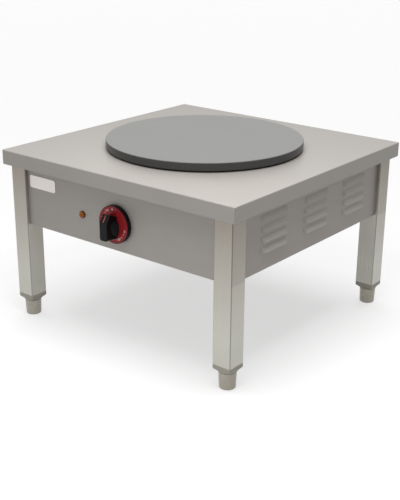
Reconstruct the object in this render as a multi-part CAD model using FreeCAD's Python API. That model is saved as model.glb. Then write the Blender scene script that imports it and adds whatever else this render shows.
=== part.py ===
import FreeCAD, Part
import math
import os

# Electric crepe maker: a folded stainless table on four square legs, with a round
# cast-iron griddle plate on top and its heater, thermostat and wiring inside.
# Millimetres. +Z is up and the floor is Z = 0. The front, with the knob, faces -Y.
# The origin is on the floor, under the middle of the table.

V = FreeCAD.Vector
X_AXIS = V(1, 0, 0)
Y_AXIS = V(0, 1, 0)
Z_AXIS = V(0, 0, 1)

# Table top
top_width = 580.0
top_depth = 570.0
table_height = 356.0
top_gauge = 1.5
rim_drop = 29.0
rim_return = 9.0
top_corner_radius = 3.0
top_fold_radius = 1.6
plate_opening = 328.0

# Legs, their plastic inserts and the screw feet
leg_width = 40.0
leg_wall = 1.5
leg_corner_radius = 2.0
leg_inset = 12.0
foot_height = 33.0
foot_radius_top = 16.8
foot_radius_bottom = 15.4
foot_edge_radius = 3.0
foot_stop_gap = 0.9
stem_radius = 5.0
stem_length = 45.0
stem_clearance = 0.08
insert_flange = 15.0
insert_neck = 6.0
insert_neck_radius = 17.4
insert_plug = 30.0
insert_clearance = 0.2

# Housing panels and the bottom cover
housing_drop = 150.0
panel_setback = 7.0
panel_gauge = 1.2
side_flange = 24.0
edge_flange = 16.0
flange_relief = 2.0
panel_screw_inset = 30.0
panel_screw_radius = 2.4
panel_screw_length = 8.0
panel_screw_head = 4.6
panel_screw_head_height = 2.6
screw_clearance = 0.1
cover_gauge = 1.0
cover_inset = 3.0
cover_leg_gap = 1.0
cover_screw_radius = 2.0
cover_screw_length = 7.0
cover_screw_head = 3.8
cover_screw_head_height = 2.2
cover_screw_spacing = 300.0
vent_slot_length = 70.0
vent_slot_width = 5.0
vent_slot_pitch = 15.0
vent_slots = 7
vent_group_offset = 95.0

# Louvres pressed out of the two side panels
louvre_width = 80.0
louvre_height = 12.0
louvre_reach = 6.0
louvre_end_taper = 6.0
louvre_top_share = 0.3
louvre_crown_wall = 2.1
louvre_gap = 4.2
louvre_pitch_across = 139.0
louvre_pitch_up = 20.0
louvre_first_height = 34.0
louvre_columns = 3
louvre_rows = 4

# Griddle plate and what clamps the heater to it
plate_diameter = 400.0
plate_thickness = 18.0
plate_edge_radius = 1.5
plate_under_chamfer = 3.0
gasket_thickness = 1.0
gasket_land = 2.0
gasket_width = 24.0
stud_circle = 356.0
stud_count = 4
stud_radius = 4.0
stud_depth = 10.0
stud_clearance = 0.1
nut_across_flats = 13.0
nut_height = 6.5
washer_radius = 8.0
washer_thickness = 1.6
stud_tail = 3.0
element_tube_radius = 4.25
element_outer_radius = 135.0
element_loop_pitch = 28.0
element_loops = 4
element_gap_half = 36.0
element_bend_radius = 12.0
element_seat_gap = 0.2
element_tail = 26.0
clamp_plate_radius = 150.0
clamp_plate_gauge = 1.5
insulation_thickness = 20.0
tray_gauge = 1.2
tray_flange_width = 27.0
lead_hole_clearance = 4.0
terminal_collar_radius = 6.5
terminal_collar_height = 8.0
terminal_pin_radius = 2.0
terminal_pin_length = 10.0

# Thermostat, its bulb and capillary
knob_centre_x = 3.7
knob_below_top = 96.0
thermostat_width = 46.0
thermostat_height = 36.0
thermostat_depth = 30.0
thermostat_corner = 2.0
tab_width = 6.0
tab_length = 9.0
tab_rise = 4.0
tab_gauge = 1.0
thermostat_screw_spacing = 28.0
thermostat_screw_radius = 2.0
thermostat_screw_length = 7.0
thermostat_screw_head = 3.8
thermostat_screw_head_height = 2.4
shaft_radius = 3.0
shaft_clearance = 0.06
shaft_depth = 18.0
shaft_reach = 6.0
shaft_flat_height = 1.65
shaft_end_room = 0.5
shaft_hole_radius = 5.0
bulb_radius = 3.0
bulb_length = 44.0
bulb_offset = 24.0
bulb_seat_gap = 0.1
capillary_radius = 1.0
capillary_drop = 8.0
capillary_bend = 3.6
clip_gauge = 1.0
clip_width = 12.0
clip_foot = 8.0
clip_screw_radius = 1.5
clip_screw_length = 5.0
clip_screw_head = 2.8
clip_screw_head_height = 1.6

# Knob
knob_radius = 36.8
knob_gap = 1.0
knob_skirt = 8.7
knob_wall = 2.2
knob_edge_radius = 0.6
dial_thickness = 0.5
dial_outer_radius = 35.6
dial_slack = 0.05
grip_reach = 27.5
grip_width = 18.5
grip_corner_radius = 5.0
grip_below = 25.0
grip_foot_below = 26.5
grip_front_above = 9.5
grip_nose_above = 24.5
grip_nose_reach = 18.0
grip_heel_above = 17.5
grip_edge_radius = 1.2
hub_half_width = 15.0
hub_below = 26.0
hub_waist_half_width = 8.5
hub_waist_rise = 3.0
pointer_width = 2.0
pointer_thickness = 0.4
pointer_length = 14.0
bush_radius = 5.0
bush_length = 15.0
bush_stand = 0.4

# Pilot lamp
lamp_from_knob = 89.7
lamp_below_top = 97.5
lamp_lens_radius = 6.0
lamp_lens_reach = 4.0
lamp_bezel_radius = 7.2
lamp_bezel_thickness = 1.5
lamp_barrel_radius = 5.0
lamp_barrel_length = 26.0
lamp_nut_radius = 8.0
lamp_nut_height = 4.0
lamp_fit = 0.1
lamp_pin_reach = 2.5
lamp_pin_length = 5.0
lamp_pin_gauge = 0.8
lamp_pin_width = 2.8

# Name plate, left blank
label_width = 72.0
label_height = 25.5
label_thickness = 1.2
label_corner = 5.0
label_from_leg = 7.0
label_below_top = 44.5

# Mains entry: gland, terminal block, earth stud
gland_from_leg = 88.0
gland_below_top = 111.0
gland_thread_radius = 10.0
gland_hex = 26.0
gland_collar = 6.0
gland_shank = 12.0
gland_dome = 24.0
gland_dome_radius_full = 12.2
gland_dome_radius_end = 8.5
gland_dome_straight = 15.0
gland_flutes = 12
gland_flute_radius = 1.4
gland_flute_start = 1.5
gland_flute_length = 13.0
gland_bore = 6.5
gland_seal_wall = 1.5
gland_seal_length = 24.0
gland_locknut_height = 5.0
gland_fit = 0.1
block_from_leg = 178.0
block_below_top = 111.0
block_width = 42.0
block_tall = 22.0
block_deep = 20.0
block_pole_pitch = 12.0
block_poles = 3
block_barrel_radius = 2.6
block_barrel_inset = 2.0
block_clamp_inset = 1.5
block_screw_inset = 4.0
block_screw_radius = 1.6
block_screw_length = 23.0
block_screw_head = 3.0
block_screw_head_height = 2.0
block_driver_room = 0.4
earth_from_leg = 33.0
earth_below_top = 111.0
earth_stud_radius = 3.0
earth_pin_radius = 2.5
earth_pin_length = 12.0
earth_washer = 1.2
earth_stud_inside = 12.0
earth_nut_hex = 10.0
earth_nut_height = 5.0
wire_radius = 1.6
lamp_wire_radius = 0.9
wire_bend = 12.0

# Places that follow from the sizes above
sheet_under = table_height - top_gauge
panel_bottom = table_height - housing_drop
panel_height = sheet_under - panel_bottom
leg_bottom = foot_height + insert_flange
leg_x = top_width / 2 - leg_inset - leg_width / 2
leg_y = top_depth / 2 - leg_inset - leg_width / 2
panel_face_x = leg_x + leg_width / 2 - panel_setback
panel_face_y = leg_y + leg_width / 2 - panel_setback
front_length = 2 * (leg_x - leg_width / 2)
side_length = 2 * (leg_y - leg_width / 2)
plate_under = table_height + gasket_thickness
plate_radius = plate_diameter / 2
opening_radius = plate_opening / 2
stud_ring = stud_circle / 2
element_centre_height = plate_under - element_seat_gap - element_tube_radius
clamp_top = element_centre_height - element_tube_radius - element_seat_gap
insulation_top = clamp_top - clamp_plate_gauge
tray_floor_top = insulation_top - insulation_thickness
tray_floor_bottom = tray_floor_top - tray_gauge
tray_flange_radius = opening_radius - tray_gauge + tray_flange_width
inner_front_y = -panel_face_y + panel_gauge
inner_rear_y = panel_face_y - panel_gauge
knob_centre_height = table_height - knob_below_top
lamp_centre_x = knob_centre_x - lamp_from_knob
lamp_centre_height = table_height - lamp_below_top
label_left = label_from_leg - front_length / 2
label_top_height = table_height - label_below_top
gland_x = front_length / 2 - gland_from_leg
gland_height = table_height - gland_below_top
block_x = front_length / 2 - block_from_leg
block_height = table_height - block_below_top
earth_x = front_length / 2 - earth_from_leg
earth_height = table_height - earth_below_top
knob_back_y = -panel_face_y - knob_gap
knob_face_y = knob_back_y - knob_skirt

os.makedirs("parts", exist_ok=True)


def save(name, shape):
    """Write one sub-part as its own file."""
    shape.exportStep("parts/" + name + ".step")


def box(x0, x1, y0, y1, z0, z1):
    """A block between two corners."""
    return Part.makeBox(x1 - x0, y1 - y0, z1 - z0, V(x0, y0, z0))


def rod(radius, length, base, direction):
    """A round bar that starts at base and runs along direction."""
    return Part.makeCylinder(radius, length, base, direction)


def upright(radius, z0, z1, x=0.0, y=0.0):
    """A round bar standing between two heights."""
    return rod(radius, z1 - z0, V(x, y, z0), Z_AXIS)


def group(shapes):
    """Several loose solids of one node."""
    return Part.makeCompound(shapes)


def cut_all(shape, tools):
    """Take a list of tools out of a shape."""
    return shape.cut(tools) if tools else shape


def hexagon(across_flats, height, base, direction):
    """A hexagonal prism centred on base."""
    corner = across_flats / math.sqrt(3)
    points = [V(corner * math.cos(math.radians(60 * k)), corner * math.sin(math.radians(60 * k)), 0)
              for k in range(7)]
    prism = Part.Face(Part.makePolygon(points)).extrude(V(0, 0, height))
    prism.Placement = FreeCAD.Placement(base, FreeCAD.Rotation(Z_AXIS, direction))
    return prism


def rounded_square_wire(width, radius, z, x=0.0, y=0.0):
    """A square outline with round corners, as four lines and four arcs."""
    h = width / 2
    flat = h - radius
    mid = h - radius + radius / math.sqrt(2)
    edges = []
    for quarter in range(4):
        c = round(math.cos(quarter * math.pi / 2))
        s = round(math.sin(quarter * math.pi / 2))

        def spot(u, v):
            return V(x + u * c - v * s, y + u * s + v * c, z)

        edges.append(Part.LineSegment(spot(h, -flat), spot(h, flat)).toShape())
        edges.append(Part.Arc(spot(h, flat), spot(mid, mid), spot(flat, h)).toShape())
    return Part.Wire(edges)


def square_bar(width, radius, z0, z1, x, y):
    """A square bar with round corners, standing between two heights."""
    return Part.Face(rounded_square_wire(width, radius, z0, x, y)).extrude(V(0, 0, z1 - z0))


def upright_edges(shape):
    """The straight edges of a shape that run along Z."""
    found = []
    for edge in shape.Edges:
        a, b = edge.firstVertex().Point, edge.lastVertex().Point
        if abs(a.x - b.x) < 1e-6 and abs(a.y - b.y) < 1e-6 and abs(a.z - b.z) > 1e-6:
            found.append(edge)
    return found


def turned(points, base, direction):
    """A turned solid: points are (radius, distance along direction), from axis to axis."""
    outline = Part.makePolygon([V(r, 0, h) for r, h in points + points[:1]])
    solid = Part.Face(outline).revolve(V(0, 0, 0), Z_AXIS, 360)
    solid.Placement = FreeCAD.Placement(base, FreeCAD.Rotation(Z_AXIS, direction))
    return solid


def bent_tube(points, bend, radius):
    """A round tube along straight runs joined by tangent arcs."""
    edges = []
    start = points[0]
    for k in range(1, len(points) - 1):
        corner = points[k]
        back = (points[k - 1] - corner).normalize()
        ahead = (points[k + 1] - corner).normalize()
        half = back.getAngle(ahead) / 2
        reach = bend / math.tan(half)
        first = corner + back * reach
        last = corner + ahead * reach
        inward = (back + ahead).normalize()
        middle = corner + inward * (bend / math.sin(half) - bend)
        edges.append(Part.LineSegment(start, first).toShape())
        edges.append(Part.Arc(first, middle, last).toShape())
        start = last
    edges.append(Part.LineSegment(start, points[-1]).toShape())
    path = Part.Wire(edges)
    ring = Part.Wire([Part.Circle(points[0], points[1] - points[0], radius).toShape()])
    return path.makePipeShell([ring], True, False)


def screw(base, direction, radius, length, head, head_height):
    """A pan-head screw. base is under the head and direction is the way it is driven."""
    away = direction * -1
    shank = rod(radius, length, base, direction)
    cap = turned([(0, 0), (head, 0), (head, head_height * 0.6), (head * 0.7, head_height), (0, head_height)],
                 base, away)
    slot = rod(head * 0.35, head_height * 0.5, base + away * (head_height * 0.6), away)
    return shank.fuse(cap).cut(slot)


# Top sheet: folded down on four sides, with a small return at the rim's lower edge
def pan_block(inset, z0, z1):
    """A block with the top sheet's rounded corners, drawn in by inset."""
    w, d = top_width / 2 - inset, top_depth / 2 - inset
    block = box(-w, w, -d, d, z0, z1)
    return block.makeFillet(max(top_corner_radius - inset, top_gauge / 3), upright_edges(block))


def top_sheet():
    rim_bottom = table_height - rim_drop
    outer = pan_block(0, rim_bottom, table_height)
    upper_edges = [e for e in outer.Edges if e.BoundBox.ZMin > table_height - 1e-3]
    outer = outer.makeFillet(top_fold_radius, upper_edges)
    hollow = pan_block(top_gauge, rim_bottom + top_gauge, sheet_under)
    mouth_w = top_width / 2 - top_gauge - rim_return
    mouth_d = top_depth / 2 - top_gauge - rim_return
    mouth = box(-mouth_w, mouth_w, -mouth_d, mouth_d, rim_bottom, rim_bottom + top_gauge)
    opening = upright(opening_radius, sheet_under, table_height)
    return cut_all(outer, [hollow, mouth, opening] + stud_holes(sheet_under, table_height))


# Studs round the plate, and the one in its middle
def stud_places():
    places = []
    for k in range(stud_count):
        turn = math.radians(360.0 * (k + 0.5) / stud_count)
        places.append((stud_ring * math.cos(turn), stud_ring * math.sin(turn)))
    return places


def stud_holes(z0, z1):
    return [upright(stud_radius + stud_clearance, z0, z1, x, y) for x, y in stud_places()]


flange_under = sheet_under - tray_gauge


def stud_seats():
    """Each stud's place with the height of the face that its washer bears on."""
    return [(x, y, flange_under) for x, y in stud_places()] + [(0.0, 0.0, tray_floor_bottom)]


def plate_studs():
    studs = []
    for x, y, seat in stud_seats():
        low = seat - washer_thickness - nut_height - stud_tail
        studs.append(upright(stud_radius, low, plate_under + stud_depth, x, y))
    return group(studs)


def plate_nuts():
    pieces = []
    for x, y, seat in stud_seats():
        bore = upright(stud_radius + stud_clearance, seat - 2 * nut_height, seat, x, y)
        washer = upright(washer_radius, seat - washer_thickness, seat, x, y)
        nut = hexagon(nut_across_flats, nut_height, V(x, y, seat - washer_thickness - nut_height), Z_AXIS)
        pieces += [washer.cut(bore), nut.cut(bore)]
    return group(pieces)


# Griddle plate: a machined casting with blind tapped holes for its studs
def griddle_plate():
    plate = turned([(0, 0), (plate_radius - plate_under_chamfer, 0), (plate_radius, plate_under_chamfer),
                    (plate_radius, plate_thickness), (0, plate_thickness)], V(0, 0, plate_under), Z_AXIS)
    rim = [e for e in plate.Edges if e.BoundBox.ZMin > plate_under + plate_thickness - 1e-3 and e.Length > 10]
    plate = plate.makeFillet(plate_edge_radius, rim)
    holes = stud_holes(plate_under, plate_under + stud_depth)
    holes.append(upright(stud_radius + stud_clearance, plate_under, plate_under + stud_depth))
    for x, y in clip_screw_places():
        holes.append(upright(clip_screw_radius + screw_clearance / 2, plate_under,
                             plate_under + clip_screw_length, x, y))
    return cut_all(plate, holes)


def plate_gasket():
    inner = opening_radius + gasket_land
    ring = upright(inner + gasket_width, table_height, plate_under)
    return cut_all(ring, [upright(inner, table_height, plate_under)] + stud_holes(table_height, plate_under))


# Tubular heating element: one tube bent to and fro in open loops under the plate
def element_radius(loop):
    return element_outer_radius - loop * element_loop_pitch


def element_gap_angle(loop):
    """The angle, either side of the front, that a loop leaves open."""
    return math.asin(element_gap_half / element_radius(loop))


def ring_point(radius, angle):
    """A point at an angle from the front, positive towards +X."""
    return V(radius * math.sin(angle), -radius * math.cos(angle), element_centre_height)


def heating_element():
    edges = []
    side = 1
    for loop in range(element_loops):
        r = element_radius(loop)
        gap = element_gap_angle(loop)
        a = ring_point(r, side * gap)
        b = ring_point(r, -side * gap)
        edges.append(Part.Arc(a, ring_point(r, math.pi), b).toShape())
        side = -side
        if loop + 1 < element_loops:
            edges += turn_back(r, element_radius(loop + 1), side)
    start_down = tail_edges(ring_point(element_radius(0), element_gap_angle(0)), element_gap_angle(0))
    last = element_loops - 1
    end_side = side
    end_gap = element_gap_angle(last)
    end_down = tail_edges(ring_point(element_radius(last), end_side * end_gap), end_side * end_gap)
    path = Part.Wire(Part.sortEdges(list(reversed(start_down)) + edges + end_down)[0])
    first = path.OrderedEdges[0]
    begin = path.OrderedVertexes[0].Point
    way = first.tangentAt(first.FirstParameter)
    ring = Part.Wire([Part.Circle(begin, way, element_tube_radius).toShape()])
    return path.makePipeShell([ring], True, False)


def turn_back(outer, inner, side):
    """A hairpin between two loops, as two quarter turns joined by a short run.

    Both loops stop the same distance from the middle line, so the hairpin leaves
    each along its tangent and the two tangents meet the run between them.
    """
    a_angle = side * math.asin(element_gap_half / outer)
    b_angle = side * math.asin(element_gap_half / inner)
    a = ring_point(outer, a_angle)
    b = ring_point(inner, b_angle)
    tangent_a = V(-side * math.cos(a_angle), -side * math.sin(a_angle), 0)
    tangent_b = V(-side * math.cos(b_angle), -side * math.sin(b_angle), 0)
    curve = Part.BezierCurve()
    reach = element_loop_pitch * 0.66
    curve.setPoles([a, a + tangent_a * reach, b + tangent_b * reach, b])
    return [curve.toShape()]


def tail_edges(point, angle):
    """A cold end: it turns from the loop's tangent straight down and runs to its terminal."""
    side = 1 if angle > 0 else -1
    along = V(-side * math.cos(angle), -side * math.sin(angle), 0)
    down = V(0, 0, -1)
    centre = point + down * element_bend_radius
    middle = centre + (along - down) * (element_bend_radius / math.sqrt(2))
    last = centre + along * element_bend_radius
    end = V(last.x, last.y, tail_bottom)
    return [Part.Arc(point, middle, last).toShape(), Part.LineSegment(last, end).toShape()]


tail_bottom = tray_floor_bottom - element_tail


def tail_places():
    """Where the two cold ends go down."""
    places = []
    last = element_loops - 1
    last_side = 1 if element_loops % 2 == 0 else -1
    for loop, side in ((0, 1), (last, last_side)):
        angle = side * element_gap_angle(loop)
        point = ring_point(element_radius(loop), angle)
        along = V(-side * math.cos(angle), -side * math.sin(angle), 0)
        spot = point + along * element_bend_radius
        places.append((spot.x, spot.y))
    return places


def tail_holes(z0, z1, bend_room=0.0):
    """Holes for the cold ends. bend_room widens them where the tube is still bending."""
    radius = element_tube_radius + lead_hole_clearance + bend_room
    return [upright(radius, z0, z1, x, y) for x, y in tail_places()]


def element_terminals():
    """A ceramic collar and a pin on the end of each cold end."""
    pieces = []
    for x, y in tail_places():
        low = tail_bottom - terminal_collar_height
        collar = upright(terminal_collar_radius, low, tail_bottom, x, y)
        pin = upright(terminal_pin_radius, low - terminal_pin_length, low, x, y)
        pieces.append(collar.fuse(pin))
    return group(pieces)


def pin_spot(index):
    """The underside of a terminal pin."""
    x, y = tail_places()[index]
    return V(x, y, tail_bottom - terminal_collar_height - terminal_pin_length)


# Thermostat bulb, held in the clear middle of the plate's underside
bulb_centre_height = plate_under - bulb_seat_gap - bulb_radius
capillary_x = -bulb_length / 2
capillary_y = bulb_offset


def clip_screw_places():
    half = bulb_radius + bulb_seat_gap + clip_gauge + clip_foot / 2
    return [(0.0, bulb_offset - half), (0.0, bulb_offset + half)]


def bulb_clip():
    """A saddle strip: two flat feet on the plate and a half-round bridge over the bulb."""
    half = clip_width / 2
    reach = bulb_radius + bulb_seat_gap
    low = bulb_centre_height
    outer = rod(reach + clip_gauge, clip_width, V(-half, bulb_offset, low), X_AXIS)
    walls = box(-half, half, bulb_offset - reach - clip_gauge, bulb_offset + reach + clip_gauge,
                low, plate_under)
    feet = box(-half, half, bulb_offset - reach - clip_gauge - clip_foot,
               bulb_offset + reach + clip_gauge + clip_foot, plate_under - clip_gauge, plate_under)
    hollow = rod(reach, clip_width, V(-half, bulb_offset, low), X_AXIS)
    slot = box(-half, half, bulb_offset - reach, bulb_offset + reach, low, plate_under)
    above = box(-half, half, bulb_offset - reach, bulb_offset + reach, plate_under, plate_under + reach)
    strip = outer.fuse([walls, feet]).cut([hollow, slot, above])
    screws = [upright(clip_screw_radius + screw_clearance, plate_under - clip_gauge, plate_under, x, y)
              for x, y in clip_screw_places()]
    return cut_all(strip, screws)


def bulb_clip_screws():
    seat = plate_under - clip_gauge
    return group([screw(V(x, y, seat), Z_AXIS, clip_screw_radius, clip_screw_length, clip_screw_head,
                        clip_screw_head_height) for x, y in clip_screw_places()])


def thermostat_bulb():
    return rod(bulb_radius, bulb_length, V(-bulb_length / 2, bulb_offset, bulb_centre_height), X_AXIS)


capillary_hole_x = capillary_x - capillary_drop


def capillary_holes(z0, z1):
    return [upright(capillary_radius + lead_hole_clearance, z0, z1, capillary_hole_x, capillary_y)]


def thermostat_capillary():
    end_x = knob_centre_x - thermostat_width / 4
    end_y = inner_front_y + thermostat_depth
    low = (tray_floor_bottom + knob_centre_height) / 2
    points = [V(capillary_x, capillary_y, bulb_centre_height),
              V(capillary_hole_x, capillary_y, bulb_centre_height),
              V(capillary_hole_x, capillary_y, low),
              V(end_x, (capillary_y + end_y) / 2, low),
              V(end_x, end_y + 8 * capillary_bend, knob_centre_height),
              V(end_x, end_y, knob_centre_height)]
    return bent_tube(points, capillary_bend, capillary_radius)


def element_clamp_plate():
    disc = upright(clamp_plate_radius, insulation_top, clamp_top)
    return cut_all(disc, tail_holes(insulation_top, clamp_top, element_bend_radius / 2)
                   + capillary_holes(insulation_top, clamp_top)
                   + [upright(stud_radius + stud_clearance, insulation_top, clamp_top)])


def insulation_disc():
    disc = upright(opening_radius - 2 * tray_gauge, tray_floor_top, insulation_top)
    return cut_all(disc, tail_holes(tray_floor_top, insulation_top)
                   + capillary_holes(tray_floor_top, insulation_top)
                   + [upright(stud_radius + stud_clearance, tray_floor_top, insulation_top)])


def heater_tray():
    wall = opening_radius
    flange = upright(tray_flange_radius, flange_under, sheet_under)
    drum = upright(wall, tray_floor_bottom, sheet_under)
    hollow = upright(wall - tray_gauge, tray_floor_top, sheet_under)
    holes = stud_holes(flange_under, sheet_under) + tail_holes(tray_floor_bottom, tray_floor_top)
    holes += capillary_holes(tray_floor_bottom, tray_floor_top)
    holes.append(upright(stud_radius + stud_clearance, tray_floor_bottom, tray_floor_top))
    return drum.fuse(flange).cut([hollow] + holes)


# Legs, inserts and feet. Each corner is named by its side, with a sign for X and for Y.
corners = {"front_left": (-1, -1), "front_right": (1, -1), "rear_left": (-1, 1), "rear_right": (1, 1)}


def leg(sx, sy):
    x, y = sx * leg_x, sy * leg_y
    outer = square_bar(leg_width, leg_corner_radius, leg_bottom, sheet_under, x, y)
    inner = square_bar(leg_width - 2 * leg_wall, max(leg_corner_radius - leg_wall, leg_wall / 5),
                       leg_bottom, sheet_under, x, y)
    tube = outer.cut(inner)
    reach = panel_screw_radius + screw_clearance / 2
    holes = []
    for z in panel_screw_heights():
        holes.append(rod(reach, leg_width / 2, V(x, panel_screw_y(sy), z), X_AXIS * -sx))
        holes.append(rod(reach, leg_width / 2, V(panel_screw_x(sx), y, z), Y_AXIS * -sy))
    return cut_all(tube, holes)


def leg_insert(sx, sy):
    x, y = sx * leg_x, sy * leg_y
    low = foot_height + foot_stop_gap
    neck_top = low + insert_neck
    flange = square_bar(leg_width, leg_corner_radius, neck_top, leg_bottom, x, y)
    square = rounded_square_wire(leg_width, leg_corner_radius, neck_top, x, y)
    circle_edges = []
    for k in range(4):
        middle = k * 90.0
        circle_edges.append(arc_on_circle(x, y, low, middle - 35, middle + 35))
        circle_edges.append(arc_on_circle(x, y, low, middle + 35, middle + 55))
    neck = Part.makeLoft([Part.Wire(circle_edges), square], True, True)
    plug = square_bar(leg_width - 2 * leg_wall - 2 * insert_clearance, leg_corner_radius / 2,
                      leg_bottom, leg_bottom + insert_plug, x, y)
    bore = upright(stem_radius + stem_clearance, low, leg_bottom + insert_plug, x, y)
    return flange.fuse([neck, plug]).cut(bore)


def arc_on_circle(x, y, z, start, end):
    def spot(degrees):
        turn = math.radians(degrees)
        return V(x + insert_neck_radius * math.cos(turn), y + insert_neck_radius * math.sin(turn), z)

    return Part.Arc(spot(start), spot((start + end) / 2), spot(end)).toShape()


def foot(sx, sy):
    x, y = sx * leg_x, sy * leg_y
    body = Part.makeCone(foot_radius_bottom, foot_radius_top, foot_height, V(x, y, 0), Z_AXIS)
    low_edges = [e for e in body.Edges if e.BoundBox.ZMax < 1e-3]
    body = body.makeFillet(foot_edge_radius, low_edges)
    stem = upright(stem_radius, foot_height, foot_height + stem_length, x, y)
    return body.fuse(stem)


# Panels. A panel is drawn with its face at y = 0 looking towards -Y, and then turned into place.
def panel_blank(length):
    """A sheet with two side flanges for the legs and an upper and a lower flange."""
    h = length / 2
    face = box(-h, h, 0, panel_gauge, 0, panel_height)
    left = box(-h, -h + panel_gauge, 0, side_flange, 0, panel_height)
    right = box(h - panel_gauge, h, 0, side_flange, 0, panel_height)
    edge_h = h - panel_gauge - flange_relief
    lower = box(-edge_h, edge_h, 0, edge_flange, 0, panel_gauge)
    upper = box(-edge_h, edge_h, 0, edge_flange, panel_height - panel_gauge, panel_height)
    blank = face.fuse([left, right, lower, upper])
    holes = []
    for z in (panel_screw_inset, panel_height - panel_screw_inset):
        start = V(-h - 1, flange_middle, z)
        holes.append(rod(panel_screw_radius + screw_clearance, length + 2, start, X_AXIS))
    for x in (-cover_screw_spacing / 2, cover_screw_spacing / 2):
        holes.append(rod(cover_screw_radius + screw_clearance / 2, panel_gauge,
                         V(x, cover_screw_line, 0), Z_AXIS))
    return cut_all(blank, holes)


flange_middle = (side_flange + panel_gauge) / 2
cover_screw_line = (edge_flange + panel_gauge) / 2
panel_turns = {"front": 0, "right": 90, "rear": 180, "left": 270}


def panel_place(side):
    """The placement that puts a panel's face on its side of the housing."""
    face = panel_face_y if side in ("front", "rear") else panel_face_x
    turn = FreeCAD.Rotation(Z_AXIS, panel_turns[side])
    return FreeCAD.Placement(turn.multVec(V(0, -face, panel_bottom)), turn)


def panel_length(side):
    return front_length if side in ("front", "rear") else side_length


def placed(shape, side):
    """A shape drawn in a panel's own frame, moved to that side."""
    moved = shape.copy()
    moved.Placement = panel_place(side).multiply(moved.Placement)
    return moved


def panel_screw_heights():
    return [panel_bottom + panel_screw_inset, sheet_under - panel_screw_inset]


def panel_screw_y(sy):
    """Where the front and rear panels' flange screws enter a leg, along Y."""
    return sy * (panel_face_y - flange_middle)


def panel_screw_x(sx):
    return sx * (panel_face_x - flange_middle)


def front_panel():
    panel = placed(panel_blank(front_length), "front")
    y = -panel_face_y - 1
    deep = panel_gauge + 2
    holes = [rod(shaft_hole_radius, deep, V(knob_centre_x, y, knob_centre_height), Y_AXIS),
             rod(lamp_barrel_radius + lamp_fit, deep, V(lamp_centre_x, y, lamp_centre_height), Y_AXIS)]
    for x in thermostat_screw_xs():
        start = V(x, y, knob_centre_height)
        holes.append(rod(thermostat_screw_radius + screw_clearance, deep, start, Y_AXIS))
    return cut_all(panel, holes)


def rear_panel():
    panel = placed(panel_blank(front_length), "rear")
    y = inner_rear_y - 1
    deep = panel_gauge + 2
    holes = [rod(gland_thread_radius + gland_fit, deep, V(gland_x, y, gland_height), Y_AXIS),
             rod(earth_stud_radius + screw_clearance, deep, V(earth_x, y, earth_height), Y_AXIS)]
    for x in block_screw_xs():
        holes.append(rod(block_screw_radius + screw_clearance / 2, deep, V(x, y, block_height), Y_AXIS))
    return cut_all(panel, holes)


# Louvres: a hood pressed outwards, open along its lower edge, with tapered ends
def louvre_wedge(width, height, reach, taper):
    """A wedge with sloping ends: its lower edge stands out by reach and its top dies into the panel."""
    h = width / 2
    top = [V(-h + taper * louvre_top_share, 0, height), V(h - taper * louvre_top_share, 0, height)]
    base = [V(-h, 0, 0), V(h, 0, 0)]
    lip = [V(-h + taper, -reach, 0), V(h - taper, -reach, 0)]
    faces = [Part.Face(Part.makePolygon([base[0], base[1], lip[1], lip[0], base[0]])),
             Part.Face(Part.makePolygon([lip[0], lip[1], top[1], top[0], lip[0]])),
             Part.Face(Part.makePolygon([base[0], lip[0], top[0], base[0]])),
             Part.Face(Part.makePolygon([base[1], top[1], lip[1], base[1]])),
             Part.Face(Part.makePolygon([base[0], top[0], top[1], base[1], base[0]]))]
    wedge = Part.Solid(Part.Shell(faces))
    if wedge.Volume < 0:
        wedge.reverse()
    return wedge


def louvre_cutters_and_hoods():
    hoods = []
    cutters = []
    slope = math.hypot(louvre_height, louvre_reach) / louvre_height
    wall = panel_gauge * slope
    for row in range(louvre_rows):
        z = louvre_first_height + row * louvre_pitch_up
        for column in range(louvre_columns):
            x = (column - (louvre_columns - 1) / 2) * louvre_pitch_across
            wedge = louvre_wedge(louvre_width, louvre_height, louvre_reach, louvre_end_taper)
            wedge.translate(V(x, 0, z))
            hoods.append(wedge)
            inner = louvre_wedge(louvre_width - 2 * wall, louvre_height - louvre_crown_wall,
                                louvre_reach - wall, louvre_end_taper)
            inner.translate(V(x, 0, z))
            cutters.append(inner)
            h = louvre_width / 2 - wall
            cutters.append(box(x - h, x + h, 0, panel_gauge, z, z + louvre_gap))
    return hoods, cutters


def louvred_panel(side):
    blank = panel_blank(side_length)
    hoods, cutters = louvre_cutters_and_hoods()
    return placed(blank.fuse(hoods).cut(cutters), side)


# Bottom cover: a flat plate under the panels' lower flanges, notched round the legs
def bottom_cover():
    w = panel_face_x - cover_inset
    d = panel_face_y - cover_inset
    low = panel_bottom - cover_gauge
    plate = box(-w, w, -d, d, low, panel_bottom)
    notch_x = leg_x - leg_width / 2 - cover_leg_gap
    notch_y = leg_y - leg_width / 2 - cover_leg_gap
    tools = []
    for sx, sy in corners.values():
        xs = sorted((sx * notch_x, sx * (w + 1)))
        ys = sorted((sy * notch_y, sy * (d + 1)))
        tools.append(box(xs[0], xs[1], ys[0], ys[1], low, panel_bottom))
    for x, y in cover_screw_places():
        tools.append(upright(cover_screw_radius + screw_clearance, low, panel_bottom, x, y))
    for side in (-1, 1):
        for k in range(vent_slots):
            y = (k - (vent_slots - 1) / 2) * vent_slot_pitch
            tools.append(vent_slot(side * vent_group_offset, y, low))
    return cut_all(plate, tools)


def vent_slot(x, y, z):
    h = vent_slot_length / 2 - vent_slot_width / 2
    r = vent_slot_width / 2
    middle = box(x - h, x + h, y - r, y + r, z, z + cover_gauge)
    ends = [upright(r, z, z + cover_gauge, x + s * h, y) for s in (-1, 1)]
    return middle.fuse(ends)


def cover_screw_places():
    places = []
    for side in panel_turns:
        for x in (-cover_screw_spacing / 2, cover_screw_spacing / 2):
            spot = panel_place(side).multVec(V(x, cover_screw_line, 0))
            places.append((spot.x, spot.y))
    return places


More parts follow.
